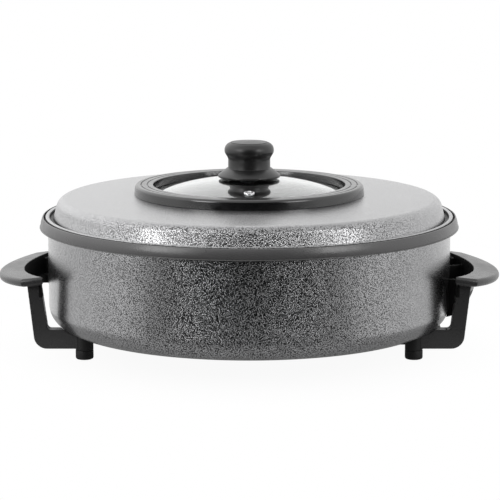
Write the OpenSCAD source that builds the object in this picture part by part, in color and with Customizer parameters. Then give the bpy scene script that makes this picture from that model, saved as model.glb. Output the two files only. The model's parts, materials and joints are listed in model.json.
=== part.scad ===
// Round electric pizza pan: a deep hammered pan on two black handles that carry the legs,
// with a lift-off lid that has a round glass window and a knob in its middle.
// X runs through the two handles, the power inlet is on the +X side, Z is up, the table is Z = 0.

/* [Pan] */
// Outside diameter of the pan wall
pan_d = 400; // [370:1:430]
// Height from the underside of the base to the seat for the lid
pan_depth = 105; // [95:1:125]
// Thickness of the wall
wall_t = 2.5; // [2:0.1:3]
// Thickness of the base
base_t = 4; // [3:0.1:6]
// Outside radius of the corner between base and wall
corner_r = 22; // [20:0.5:26]
// Clear height between the base and the table
ground_gap = 24; // [23:0.5:32]

/* [Rim ring] */
// How far the lower edge of the ring stands out from the pan wall
rim_overhang = 8.2; // [7.4:0.1:10]
// How far the ring hangs below the seat for the lid
rim_drop = 6.8; // [6:0.1:10]
// Height of the lip that keeps the lid in place
rim_lip = 4; // [3:0.1:6]

/* [Lid] */
// Thickness of the lid's sheet
lid_t = 1.5; // [1.2:0.1:2]
// Height of the skirt, from the flange to the end of the shoulder
skirt_h = 20.2; // [16:0.1:30]
// Lean of the skirt from upright, in degrees
skirt_lean = 12; // [4:0.5:20]
// Outside radius of the shoulder
shoulder_r = 10; // [6:0.5:12]
// Rise of the top from the shoulder to the window ring
crown = 2.8; // [1:0.1:8]

/* [Window] */
// Diameter of the glass inside the ring
window_d = 191; // [150:1:220]
// Width of the ring's top face
ring_w = 18.7; // [17:0.1:24]
// Height of the ring above the lid
ring_h = 9.9; // [9:0.1:13]
// Thickness of the glass
glass_t = 4; // [3:0.1:4]
// Rise of the glass from the ring to its middle
glass_rise = 15; // [10:0.1:18]
// Distance of the steam vent from the middle of the glass
vent_offset = 63.5; // [46:0.5:68]

/* [Knob] */
// Diameter of the knob's cap
cap_d = 49; // [44:0.5:56]
// Diameter of the neck
neck_d = 41.8; // [34:0.2:43]
// Diameter of the finger guard at the knob's foot
guard_d = 62; // [56:0.5:72]
// Height of the knob
knob_h = 36; // [32:0.5:46]

/* [Handles] */
// How far a grip stands out from the pan wall
grip_reach = 49.5; // [44:0.5:60]
// Finger gap between the pan wall and a grip
grip_gap = 24.2; // [20:0.1:28]
// Length of a grip, front to back
grip_l = 156; // [150:1:180]
// Radius of a grip's outer edge, seen from above
grip_r = 116; // [105:1:130]
// Radius of the finger gap's edge, seen from above
gap_r = 132.7; // [125:0.1:145]
// Thickness of a grip
grip_t = 8; // [6:0.1:9]
// Droop of a grip towards its outer edge, in degrees
grip_droop = 6.8; // [4:0.1:12]
// Height of a grip's top above the base, measured at the pan wall
grip_lift = 59.4; // [56:0.1:75]

/* [Legs and feet] */
// Distance between the two legs of a handle
leg_span = 129; // [120:1:134]
// Thickness of a leg, front to back
leg_t = 13; // [10:0.5:14]
// Width of a leg, seen from the front
leg_w = 13; // [10:0.5:15]
// Distance of a foot from the pan wall, inwards
foot_inset = 39; // [36:0.5:46]
// Diameter of a foot
foot_d = 17.5; // [16:0.5:22]
// Height of a foot
foot_h = 9; // [8:0.5:11]

/* [Heater and inlet] */
// Diameter of the heater ring
heater_d = 240; // [200:1:260]
// Diameter of the heater tube
tube_d = 8; // [6:0.1:9]
// Distance between the two terminal pins
pin_span = 32; // [28:0.5:34]
// Diameter of a terminal pin
pin_d = 4.8; // [4:0.1:5]
// Diameter of the hole for the thermostat's probe
probe_d = 7; // [6:0.1:7.4]

/* [Clearances] */
// Gap under the lid when it lies in the rim
lid_gap = 0.3; // [0.2:0.05:0.6]
// Gap around the lid's edge
lid_side_gap = 0.8; // [0.5:0.1:1.2]
// Gap around a pin or a screw in its hole
hole_gap = 0.25; // [0.15:0.05:0.4]

/* [Hidden] */

$fn = 96;
cut = 1; // overshoot of a cutting shape
pan_r = pan_d / 2;
flat_r = pan_r - corner_r;
base_z = ground_gap;
seat_z = base_z + pan_depth;
flange_t = 2;
bead_r = 2;
bead_out = pan_r + 3.4;
flange_r = bead_out + lid_side_gap / 2;
lip_in = bead_out + lid_side_gap;

// Lid heights and its outline, worked out from the lean and the shoulder
flange_z = seat_z + lid_gap + lid_t;
skirt_foot = pan_r - 6;
crown_foot = window_d / 2 + ring_w + 2;
shoulder_end = 88;
skirt_l = (skirt_h + shoulder_r * (sin(skirt_lean) - sin(shoulder_end))) / cos(skirt_lean);
shoulder_c = [skirt_foot - skirt_l * sin(skirt_lean) - shoulder_r * cos(skirt_lean),
    flange_z + skirt_l * cos(skirt_lean) - shoulder_r * sin(skirt_lean)];
top_z = flange_z + skirt_h + crown;

// Window: a ring above the lid and a clamp below it hold the flat brim of the domed glass in a seal
ring_in = window_d / 2;
ring_out = ring_in + ring_w;
ring_top = top_z + ring_h;
opening_r = ring_out - 5.2;
collar_in = opening_r - 2.4;
glass_edge = collar_in - 2.4;
glass_edge_z = top_z + 1.2;
glass_top = glass_edge_z + glass_rise;
dome_r = (pow(ring_in, 2) + pow(glass_rise, 2)) / (2 * glass_rise);
dome_c = glass_top - dome_r;
seal_t = 1.2;
seal_top = glass_edge_z + seal_t;
clamp_t = 2.6;
clamp_in = ring_in + 2;
clamp_top = top_z - lid_t;
clamp_floor = glass_edge_z - glass_t - seal_t;
clamp_under = clamp_floor - clamp_t;
groove_w = 1;
groove_deep = 1.2;
clamp_screws_n = 6;
clamp_screw_r = 1.5;
clamp_screw_at = (opening_r + ring_out) / 2 - 0.2;
clamp_screw_tip = top_z + 3;
vent_r = 3.2;
vent_flange_r = 5.2;
vent_tilt = asin(vent_offset / dome_r);

// Knob: it stands on the glass with a soft pad in a recess below it and a screw from below
knob_seal_t = 1.2;
knob_seal_r = 11;
knob_foot = glass_top + 0.2;
knob_screw_r = 2.5;
insert_r = 5;
insert_h = 18;
insert_z = glass_top + knob_seal_t;
washer_t = 1.2;
glass_under = dome_c + sqrt(pow(dome_r - glass_t, 2) - pow(knob_seal_r, 2));
screw_head_z = glass_under - knob_seal_t - washer_t;

// Handles: a drooping crescent, an upright apron round its finger gap and two legs with feet
grip_reach_l = grip_reach / cos(grip_droop) + grip_t / 2 * tan(grip_droop);
gap_x = pan_r + grip_gap - gap_r;
grip_edge_r = 0.46 * grip_t;
grip_end_x = 5; // middle of the circle that rounds off the grip's ends, from the pan wall
apron_t = 3;
apron_z = base_z + grip_lift - 21.4;
apron_tilt = 9.6; // fall of the apron's lower edge towards the rear, in degrees
leg_lean = 6;
leg_out = pan_r + 3 + leg_w;
rear_leg_in = 6.5; // how much nearer to the wall the rear leg stands
leg_top = base_z + grip_lift - grip_t / 2;
bar_z = base_z - 13;
bar_corner = 13;
rear_corner = 18;
bar_top = 6;
foot_x = pan_r - foot_inset;
foot_y = leg_span / 2;
foot_places = [for (sx = [-1, 1], sy = [-1, 1]) [sx * foot_x, sy * foot_y]];
stud_r = 2.5;
stud_l = 12;
nut_h = 4;
nut_af = 8;
nut_z = base_z - 6;
nut_pocket_r = 5.4;
foot_round = 2.6;

// Heater: a ring under the base, bent outwards at its ends to run into the inlet
tube_r = tube_d / 2;
heater_r = heater_d / 2;
heater_z = base_z - tube_r - 0.1;
tail_y = pin_span / 2;
tail_bend = 14;
tail_c = [sqrt(pow(heater_r + tail_bend, 2) - pow(tail_y + tail_bend, 2)), tail_y + tail_bend];
tail_a = atan2(tail_c.y, tail_c.x);
strap_t = 1.2;
strap_w = 14;
strap_places = [70, 145, 215, 290];

// Inlet: a block under the base with a pocket that opens outwards between the legs
inlet_back = pan_r - 52;
inlet_front = pan_r - 10;
inlet_w = 66;
inlet_h = 17;
pocket_deep = 21;
pocket_w = 50;
pocket_h = 13;
pocket_floor = inlet_front - pocket_deep;
inlet_z = base_z - 8.6;
tail_end = inlet_back + 10;
pin_tip = inlet_front - 3;
pin_root_r = pin_d / 2 + 0.6;
sleeve_r = 5;
sleeve_end_t = 3;
sleeve_back = inlet_back - 44;
inlet_stud_y = inlet_w / 2 - 7;
inlet_stud_x = inlet_back + 8;
earth_t = 0.8;
hood_foot = base_z + 11.4;
hood_in = pan_r - 3 - gap_x;
hood_top = base_z + grip_lift - 5;
hood_angle = 40;

// Points along an arc, from angle a0 to a1
function arc(c, r, a0, a1, n = 12) =
    [for (i = [0:n]) let (a = a0 + (a1 - a0) * i / n) c + r * [cos(a), sin(a)]];

// A shape and its mirror image, behind and in front of the middle plane
module both_sides() {
    children();
    mirror([0, 1, 0]) children();
}

// Upright section of a round bowl with a rounded lower corner
module bowl_section(r, z0, z1, c) {
    translate([0, z0]) square([r - c, z1 - z0]);
    translate([0, z0 + c]) square([r, z1 - z0 - c]);
    translate([r - c, z0 + c]) circle(c);
}

// A screw or stud with a plain shank along Z
module shank(x, y, z0, z1, r) {
    translate([x, y, z0]) cylinder(h = z1 - z0, r = r);
}

// A cylinder along X
module rod(x0, x1, y, z, r) {
    translate([x0, y, z]) rotate([0, 90, 0]) cylinder(h = x1 - x0, r = r);
}

// The deep pan with its turned-out seat for the lid
module pan_shell() {
    color("#8d9092") rotate_extrude() difference() {
        union() {
            bowl_section(pan_r, base_z, seat_z, corner_r);
            translate([pan_r - wall_t, seat_z - flange_t]) square([flange_r - pan_r + wall_t, flange_t]);
        }
        bowl_section(pan_r - wall_t, base_z + base_t, seat_z + cut, corner_r - base_t);
    }
}

// The dark ring that hooks under the seat and keeps the lid in place
module rim_ring() {
    hook_t = 2;
    hook_in = pan_r + 0.4;
    face_foot = pan_r + rim_overhang;
    face_top = lip_in + 1.7;
    skirt_t = 2;
    edge_r = 0.8;
    color("#2b2b2c") rotate_extrude() polygon(concat(
        [[lip_in, seat_z - flange_t], [hook_in, seat_z - flange_t],
            [hook_in, seat_z - flange_t - hook_t], [lip_in + 0.4, seat_z - flange_t - hook_t],
            [face_foot - skirt_t, seat_z - rim_drop]],
        arc([face_foot - edge_r, seat_z - rim_drop + edge_r], edge_r, -90, 0, 5),
        arc([face_top - edge_r, seat_z + rim_lip - edge_r], edge_r, 10, 90, 5),
        [[lip_in + 0.3, seat_z + rim_lip], [lip_in, seat_z + rim_lip - 0.3]]
    ));
}

// Outline of a handle's leg from the front: leaning upright, rounded heel and a bar under the base
module leg_section(out, corner) {
    heel_x = out - leg_lean;
    toe_r = 4;
    toe_z = base_z + bar_top + toe_r;
    polygon(concat(
        [[foot_x, bar_z], [foot_x, base_z + bar_top]],
        arc([heel_x - leg_w - toe_r, toe_z], toe_r, -90, 0, 6),
        [[out - leg_w, leg_top], [out, leg_top - leg_w * tan(grip_droop)]],
        arc([heel_x - corner, bar_z + corner], corner, 0, -90, 8)
    ));
}

// One end of a handle: the leg with its bar and the round boss over the foot
module leg_end(out, corner) {
    translate([0, foot_y + leg_t / 2]) rotate([90, 0, 0]) linear_extrude(leg_t) leg_section(out, corner);
    shank(foot_x, foot_y, foot_h, base_z, foot_d / 2);
}

// Puts a shape in the grip's drooping plane: origin at the pan wall, on the grip's top
module on_grip() {
    translate([pan_r, 0, base_z + grip_lift]) rotate([0, grip_droop, 0]) children();
}

// A round plate with a rounded edge
module rounded_plate(r, t) {
    edge_x = r - grip_edge_r;
    rotate_extrude() {
        square([edge_x, t]);
        translate([0, grip_edge_r]) square([r, t - 2 * grip_edge_r]);
        for (z = [grip_edge_r, t - grip_edge_r]) translate([edge_x, z]) circle(grip_edge_r);
    }
}

// What the crescent is cut from: a wide plate for the outer edge, rounded off at both ends by a smaller one
module grip_plate() {
    lap = 0.2;
    on_grip() intersection() {
        translate([grip_reach_l - grip_r, 0, -grip_t]) rounded_plate(grip_r, grip_t);
        translate([grip_end_x, 0, -grip_t - lap]) rounded_plate(grip_l / 2, grip_t + 2 * lap);
    }
}

// The upright wall below the grip's inner edge, from inside the grip's thickness to a sloping lower edge
module apron() {
    sweep = 2 * asin((foot_y + leg_t / 2 - cut) / gap_r);
    difference() {
        translate([gap_x, 0, base_z]) rotate([0, 0, -sweep / 2]) rotate_extrude(angle = sweep)
            translate([gap_r - cut, 0]) square([apron_t + cut, 2 * grip_lift]);
        on_grip() translate([-pan_r, -pan_r, -grip_t / 2]) cube(2 * pan_r);
        translate([0, 0, apron_z]) rotate([-apron_tilt, 0, 0]) translate([0, -pan_r, -2 * pan_r])
            cube(2 * pan_r);
    }
}

// The crescent grip with its apron, cut out round the finger gap
module grip() {
    difference() {
        union() {
            grip_plate();
            apron();
        }
        translate([gap_x, 0, 0]) cylinder(h = seat_z, r = gap_r);
    }
}

// The curved hood under the right grip, which shields the plug from the hot wall, with a cheek at each end
module inlet_hood() {
    inset = 0.2;
    start = 6;
    steps = 14;
    drop = hood_top - hood_foot;
    cheek_angle = 1.4;
    cheek_end = hood_angle / 2 - inset;
    cheek_in = hood_in - corner_r;
    function hood_line(r, fall) = [for (i = [0:steps]) let (a = start + (90 - start) * i / steps)
        [hood_in + (r - hood_in) * cos(a), hood_top - fall * sin(a)]];
    outside = hood_line(gap_r + apron_t - inset, drop);
    middle = hood_line(gap_r + apron_t / 2, drop - apron_t / 2);
    inside = hood_line(gap_r + inset, drop - apron_t);
    translate([gap_x, 0, 0]) {
        rotate([0, 0, -hood_angle / 2]) rotate_extrude(angle = hood_angle)
            polygon(concat(outside, [for (i = [steps:-1:0]) inside[i]]));
        both_sides() rotate([0, 0, cheek_end - cheek_angle]) rotate_extrude(angle = cheek_angle)
            polygon(concat(middle, [[cheek_in, middle[steps].y], [cheek_in, middle[0].y]]));
    }
}

// A whole handle on the +X side: one black moulding, with what is added to it as children
module handle() {
    difference() {
        union() {
            grip();
            leg_end(leg_out - rear_leg_in, rear_corner);
            mirror([0, 1, 0]) leg_end(leg_out, bar_corner);
            children();
        }
        rotate_extrude() bowl_section(pan_r + hole_gap, base_z, 2 * seat_z, corner_r);
        for (s = [-1, 1]) {
            shank(foot_x, s * foot_y, 0, seat_z, stud_r + hole_gap);
            shank(foot_x, s * foot_y, 0, nut_z, nut_pocket_r);
        }
    }
}

module left_handle() {
    color("#161616") mirror([1, 0, 0]) handle();
}

module right_handle() {
    color("#161616") handle() inlet_hood();
}

// A foot with a plug that fills the nut pocket and a flat rest face
module foot(place) {
    plug_h = base_z - stud_l - foot_h - hole_gap;
    r = foot_d / 2;
    color("#101010") translate([place.x, place.y, 0]) rotate_extrude() polygon(concat(
        [[0, 0]],
        arc([r - foot_round, foot_round], foot_round, -90, 0, 6),
        [[r, foot_h], [nut_pocket_r - hole_gap, foot_h],
            [nut_pocket_r - hole_gap, foot_h + plug_h], [0, foot_h + plug_h]]
    ));
}

module front_left_foot() {
    foot(foot_places[0]);
}

module rear_left_foot() {
    foot(foot_places[1]);
}

module front_right_foot() {
    foot(foot_places[2]);
}

module rear_right_foot() {
    foot(foot_places[3]);
}

// Studs welded to the base, one over each foot
module leg_studs() {
    color("#b9bcc0") for (p = foot_places) shank(p.x, p.y, base_z - stud_l, base_z, stud_r);
}

// A hexagon nut on a stud
module nut(x, y, z) {
    translate([x, y, z - nut_h]) difference() {
        cylinder(h = nut_h, d = nut_af / cos(30), $fn = 6);
        translate([0, 0, -cut]) cylinder(h = nut_h + 2 * cut, r = stud_r);
    }
}

module leg_nuts() {
    color("#b9bcc0") for (p = foot_places) nut(p.x, p.y, nut_z);
}

// The tubular heater, a ring whose two ends run out to the inlet
module heating_element() {
    step = 0.15;
    root = 2;
    color("#6f7276") {
        translate([0, 0, heater_z]) rotate([0, 0, tail_a]) rotate_extrude(angle = 360 - 2 * tail_a)
            translate([heater_r, 0]) circle(tube_r);
        both_sides() {
            translate([tail_c.x, tail_c.y, heater_z]) rotate([0, 0, 180 + tail_a - 2 * root])
                rotate_extrude(angle = 90 - tail_a + 2 * root)
                    translate([tail_bend, 0]) circle(tube_r - step);
            rod(tail_c.x - root, tail_end, tail_y, heater_z, tube_r - 2 * step);
        }
    }
}

// Straps welded to the base that hold the heater against it
module heater_straps() {
    wing = 12;
    arch_r = tube_r + 0.2;
    sweep = strap_w / heater_r * 180 / PI;
    color("#a9adb1") for (a = strap_places) rotate([0, 0, a - sweep / 2]) rotate_extrude(angle = sweep)
        difference() {
            union() {
                translate([heater_r - arch_r - wing, base_z - strap_t])
                    square([2 * (arch_r + wing), strap_t]);
                translate([heater_r, heater_z]) circle(arch_r + strap_t);
            }
            translate([heater_r, heater_z]) circle(arch_r);
            translate([heater_r - arch_r, heater_z]) square([2 * arch_r, tube_d]);
            translate([0, base_z]) square([pan_r, tube_d]);
        }
}

// The block that holds the terminals, with a pocket for the thermostat's plug
module inlet_housing() {
    color("#1b1b1b") difference() {
        translate([inlet_back, -inlet_w / 2, base_z - inlet_h])
            cube([inlet_front - inlet_back, inlet_w, inlet_h]);
        translate([pocket_floor, -pocket_w / 2, inlet_z - pocket_h / 2])
            cube([pocket_deep + cut, pocket_w, pocket_h]);
        both_sides() {
            rod(inlet_back - cut, tail_end, tail_y, heater_z, tube_r + hole_gap);
            rod(tail_end - cut, pocket_floor + cut, tail_y, inlet_z, pin_root_r);
            shank(inlet_stud_x, inlet_stud_y, 0, base_z, stud_r + hole_gap);
            shank(inlet_stud_x, inlet_stud_y, 0, nut_z, nut_pocket_r);
        }
        rod(inlet_back - cut, pocket_floor + cut, 0, inlet_z, sleeve_r);
    }
}

module inlet_studs() {
    color("#b9bcc0") both_sides() shank(inlet_stud_x, inlet_stud_y, base_z - stud_l, base_z, stud_r);
}

module inlet_nuts() {
    color("#b9bcc0") both_sides() nut(inlet_stud_x, inlet_stud_y, nut_z);
}

// Two contact pins with rounded ends, each on a thicker root in the block
module terminal_pins() {
    r = pin_d / 2;
    color("#c9ccd0") both_sides() {
        rod(tail_end, pocket_floor, tail_y, inlet_z, pin_root_r);
        rod(pocket_floor - cut, pin_tip - r, tail_y, inlet_z, r);
        translate([pin_tip - r, tail_y, inlet_z]) sphere(r);
    }
}

// The blind tube that takes the thermostat's probe, on a web that draws heat from the base
module probe_sleeve() {
    web_t = 6;
    color("#c2a15a") difference() {
        union() {
            rod(sleeve_back, pocket_floor, 0, inlet_z, sleeve_r);
            translate([sleeve_back, -web_t / 2, inlet_z])
                cube([inlet_back - hole_gap - sleeve_back, web_t, base_z - inlet_z]);
        }
        rod(sleeve_back + sleeve_end_t, pocket_floor + cut, 0, inlet_z, probe_d / 2);
    }
}

// Flat springs on both sides of the pocket that earth the plug
module earth_springs() {
    color("#c9ccd0") both_sides() translate([pocket_floor, pocket_w / 2 - earth_t, inlet_z - 4])
        cube([pocket_deep - 4, earth_t, 8]);
}

// The lid: rolled edge, flat flange, leaning skirt, round shoulder and a slightly rising top
module lid_shell() {
    inner_foot = skirt_foot - lid_t * cos(skirt_lean) + lid_t * (1 - sin(skirt_lean)) * tan(skirt_lean);
    bead_c = [bead_out - bead_r, seat_z + lid_gap + bead_r];
    color("#8d9092") difference() {
        rotate_extrude() {
            translate(bead_c) circle(bead_r);
            polygon(concat(
                [[bead_c.x, flange_z], [skirt_foot, flange_z]],
                arc(shoulder_c, shoulder_r, skirt_lean, shoulder_end),
                [[crown_foot, top_z], [opening_r, top_z], [opening_r, top_z - lid_t],
                    [crown_foot, top_z - lid_t]],
                arc(shoulder_c, shoulder_r - lid_t, shoulder_end, skirt_lean),
                [[inner_foot, flange_z - lid_t], [bead_c.x, flange_z - lid_t]]
            ));
        }
        clamp_screw_ring() shank(0, 0, top_z - lid_t - cut, top_z + cut, clamp_screw_r + hole_gap);
    }
}

// Puts a shape at each of the clamp's screws
module clamp_screw_ring() {
    for (i = [0:clamp_screws_n - 1]) rotate([0, 0, (i + 0.5) * 360 / clamp_screws_n])
        translate([clamp_screw_at, 0, 0]) children();
}

// Section of the glass: a dome inside the ring and a flat brim that runs into the seal
module glass_section() {
    lap = 0.3;
    intersection() {
        difference() {
            translate([0, dome_c]) circle(dome_r, $fn = 720);
            translate([0, dome_c]) circle(dome_r - glass_t, $fn = 720);
        }
        translate([0, dome_c]) square([ring_in + lap, 2 * dome_r]);
    }
    translate([ring_in - lap, glass_edge_z - glass_t]) square([glass_edge - ring_in + lap, glass_t]);
}

// A hole or a fitting in the glass at the steam vent, square to the dome
module at_vent() {
    translate([0, 0, dome_c]) rotate([vent_tilt, 0, 0]) translate([0, 0, dome_r]) children();
}

// The black ring on the lid, with two fine grooves in its top
module window_ring() {
    edge_r = 3;
    inner_r = 0.8;
    color("#141414") difference() {
        rotate_extrude() difference() {
            polygon(concat(
                [[opening_r, top_z], [ring_out, top_z]],
                arc([ring_out - edge_r - 0.6, ring_top - edge_r], edge_r, 4, 90, 8),
                arc([ring_in + inner_r, ring_top - inner_r], inner_r, 90, 180, 4),
                [[ring_in, seal_top], [collar_in, seal_top], [collar_in, clamp_top],
                    [opening_r - hole_gap, clamp_top], [opening_r - hole_gap, top_z]]
            ));
            for (share = [0.36, 0.69])
                translate([ring_out - share * ring_w - groove_w / 2, ring_top - groove_deep])
                    square([groove_w, groove_deep + cut]);
        }
        clamp_screw_ring() shank(0, 0, top_z - cut, clamp_screw_tip + hole_gap, clamp_screw_r);
    }
}

// The soft channel round the edge of the glass
module window_seal() {
    color("#3a3a3a") rotate_extrude() difference() {
        translate([clamp_in, clamp_floor]) square([collar_in - clamp_in, seal_top - clamp_floor]);
        glass_section();
    }
}

module window_glass() {
    screw_room = 1;
    color("#cfd8d8", 0.5) difference() {
        rotate_extrude() glass_section();
        shank(0, 0, 0, glass_top + cut, knob_screw_r + screw_room);
        at_vent() translate([0, 0, -2 * glass_t]) cylinder(h = 3 * glass_t, r = vent_r + hole_gap);
    }
}

// The clamp under the lid that presses seal and ring together, with a step for the seal
module window_clamp() {
    color("#202020") difference() {
        rotate_extrude() difference() {
            translate([clamp_in, clamp_under]) square([ring_out - clamp_in, clamp_top - clamp_under]);
            translate([clamp_in - cut, clamp_floor]) square([collar_in - clamp_in + cut, ring_h]);
        }
        clamp_screw_ring() shank(0, 0, clamp_under - cut, clamp_top + cut, clamp_screw_r + hole_gap);
    }
}

module clamp_screws() {
    head_r = 2.9;
    head_h = 1.8;
    color("#b9bcc0") clamp_screw_ring() {
        shank(0, 0, clamp_under - head_h, clamp_under, head_r);
        shank(0, 0, clamp_under - head_h, clamp_screw_tip, clamp_screw_r);
    }
}

// The bright eyelet of the steam vent, flanged above and rolled over below the glass
module vent_eyelet() {
    bore_r = 1.6;
    flange_h = 1.2;
    flange_round = 1;
    bore_edge = 0.6;
    roll_h = 0.9;
    roll_r = vent_flange_r - 0.7;
    inner_r = dome_r - glass_t;
    sag = inner_r - sqrt(pow(inner_r, 2) - pow(roll_r, 2));
    roll_z = -glass_t - sag - 0.02;
    color("#d7dadc") at_vent() rotate_extrude() polygon(concat(
        [[bore_r, roll_z - roll_h], [roll_r, roll_z - roll_h],
            [roll_r, roll_z], [vent_r, roll_z], [vent_r, 0], [vent_flange_r, 0]],
        arc([vent_flange_r - flange_round, flange_h - flange_round], flange_round, 0, 90, 6),
        [[bore_r + bore_edge, flange_h], [bore_r, flange_h - bore_edge]]
    ));
}

// The knob: finger guard, conical flare, straight neck and a rounded cap
module knob() {
    cap_r = cap_d / 2;
    neck_r = neck_d / 2;
    guard_r = guard_d / 2;
    guard_round = 1.6;
    guard_turn = 52;
    step_w = 1.4;
    flare_top = 0.255 * knob_h;
    neck_top = 0.495 * knob_h;
    cap_mid = 0.736 * knob_h;
    brow_r = 7.5;
    brow_turn = 80;
    top_rise = 0.9;
    color("#121212") difference() {
        translate([0, 0, knob_foot]) rotate_extrude() polygon(concat(
            [[0, 0]],
            arc([guard_r - guard_round, guard_round], guard_round, -90, guard_turn, 8),
            [[neck_r + step_w, flare_top], [neck_r, flare_top]],
            [for (t = [0:0.1:1]) [neck_r + (cap_r - neck_r) * (1 - cos(180 * t)) / 2,
                neck_top + (cap_mid - neck_top) * t]],
            arc([cap_r - brow_r, knob_h - top_rise - brow_r], brow_r, 0, brow_turn, 8),
            [[0, knob_h]]
        ));
        shank(0, 0, knob_foot - cut, insert_z, knob_seal_r + hole_gap);
        shank(0, 0, knob_foot - cut, insert_z + insert_h, insert_r);
    }
}

// The threaded bush moulded into the knob
module knob_insert() {
    color("#c2a15a") difference() {
        shank(0, 0, insert_z, insert_z + insert_h, insert_r);
        shank(0, 0, insert_z - cut, insert_z + insert_h - cut, knob_screw_r);
    }
}

// The screw that holds the knob, put in from below the glass
module knob_screw() {
    head_r = 5;
    head_h = 3;
    end_gap = 4;
    color("#b9bcc0") {
        shank(0, 0, screw_head_z - head_h, screw_head_z, head_r);
        shank(0, 0, screw_head_z - head_h, insert_z + insert_h - end_gap, knob_screw_r);
    }
}

// A soft ring above the glass and another below it
module knob_seal() {
    module pad(z0) {
        difference() {
            shank(0, 0, z0, z0 + knob_seal_t, knob_seal_r);
            shank(0, 0, z0 - cut, z0 + knob_seal_t + cut, knob_screw_r + hole_gap);
        }
    }
    color("#3a3a3a") {
        pad(glass_top);
        pad(screw_head_z + washer_t);
    }
}

module knob_washer() {
    washer_r = 9;
    color("#b9bcc0") difference() {
        shank(0, 0, screw_head_z, screw_head_z + washer_t, washer_r);
        shank(0, 0, screw_head_z - cut, screw_head_z + washer_t + cut, knob_screw_r + hole_gap);
    }
}

pan_shell();
rim_ring();
left_handle();
right_handle();
front_left_foot();
front_right_foot();
rear_left_foot();
rear_right_foot();
leg_studs();
leg_nuts();
heating_element();
heater_straps();
inlet_housing();
inlet_studs();
inlet_nuts();
terminal_pins();
probe_sleeve();
earth_springs();
lid_shell();
window_ring();
window_seal();
window_glass();
window_clamp();
clamp_screws();
vent_eyelet();
knob();
knob_insert();
knob_screw();
knob_seal();
knob_washer();
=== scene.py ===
"""Looks of a round electric pizza pan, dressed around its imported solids.

All lengths are in metres. An outline is a list of (radius, height) points that is turned about Z.
"""

import json
import math

import bmesh
import bpy
from bpy.props import FloatProperty, FloatVectorProperty, PointerProperty
from mathutils import Matrix, Vector


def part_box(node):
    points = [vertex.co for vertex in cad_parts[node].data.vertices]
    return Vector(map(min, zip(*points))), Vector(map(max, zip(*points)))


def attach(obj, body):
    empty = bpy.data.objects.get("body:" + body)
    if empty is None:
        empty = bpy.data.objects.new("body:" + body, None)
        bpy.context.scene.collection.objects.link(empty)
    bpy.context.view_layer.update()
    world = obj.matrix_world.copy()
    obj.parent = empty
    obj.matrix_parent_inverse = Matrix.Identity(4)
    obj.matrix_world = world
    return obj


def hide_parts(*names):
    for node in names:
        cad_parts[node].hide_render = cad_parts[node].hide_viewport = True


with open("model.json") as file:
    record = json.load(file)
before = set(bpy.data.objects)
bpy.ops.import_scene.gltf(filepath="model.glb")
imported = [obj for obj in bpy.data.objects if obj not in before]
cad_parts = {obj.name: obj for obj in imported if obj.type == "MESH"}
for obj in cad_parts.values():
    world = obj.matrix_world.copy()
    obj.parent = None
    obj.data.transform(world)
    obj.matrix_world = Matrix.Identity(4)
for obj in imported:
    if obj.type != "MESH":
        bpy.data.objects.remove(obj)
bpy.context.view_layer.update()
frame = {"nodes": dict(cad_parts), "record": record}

bl_info = {
    "name": "Electric pizza pan",
    "version": (1, 0, 0),
    "blender": (4, 5, 0),
    "location": "3D View > Sidebar > Pizza Pan",
    "description": "Makes the pieces, the finishes and the studio of a round electric pizza pan",
    "category": "Object",
}

MM = 0.001
SHARP_ANGLE = math.radians(32)
SOFTENING_PASSES = 3
SENSOR_WIDTH = 36
GRAIN_DEPTH, WORKING_DEPTH = 0.3 * MM, 0.2 * MM
FLOAT, COLOUR = "NodeSocketFloat", "NodeSocketColor"
SKIN_OUTPUTS = [("Color", COLOUR), ("Roughness", FLOAT), ("Height", FLOAT)]

# The pebbles of the hammertone lie on a slanted grid, so that no face of the pan lines up with it.
# Their height is a share of their size.
PEBBLE_SLANT = (0.61, 0.44, 0.26)
PEBBLE_HEIGHT = 0.42

# Where relief, tone and roughness change, from a face seen straight on at 0 to one seen edge on at 1
RELIEF_FADE, LEAST_RELIEF = (0.0, 0.2), 0.2
TONE_FADE, MOST_EVEN = (0.1, 0.6), 0.7
ROUGHNESS_FADE = (0.3, 0.8)
PAN_ENAMEL = {
    "relief": 1.0, "coat_weight": 0.6, "coat_roughness": 0.16,
    "grazing": 0.8, "slope": 0.3, "share": 0.5,
}
LID_ENAMEL = {
    "relief": 0.85, "coat_weight": 0.6, "coat_roughness": 0.35,
    "grazing": 1.1, "slope": 1.0, "share": 0.62,
}


def length(name, description, millimetres):
    """A length that a user can change, with its default in millimetres."""
    default = millimetres * MM
    return FloatProperty(name=name, description=description, default=default, unit="LENGTH", precision=4)


def angle(name, description, degrees):
    """An angle that a user can change, with its default in degrees."""
    return FloatProperty(name=name, description=description, default=math.radians(degrees), subtype="ANGLE")


def number(name, description, default):
    """A plain number of zero or more that a user can change."""
    return FloatProperty(name=name, description=description, default=default, min=0)


def colour(name, description, default):
    """A surface colour that a user can change."""
    return FloatVectorProperty(
        name=name, description=description, default=default, subtype="COLOR", size=3, min=0, max=1
    )


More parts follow.
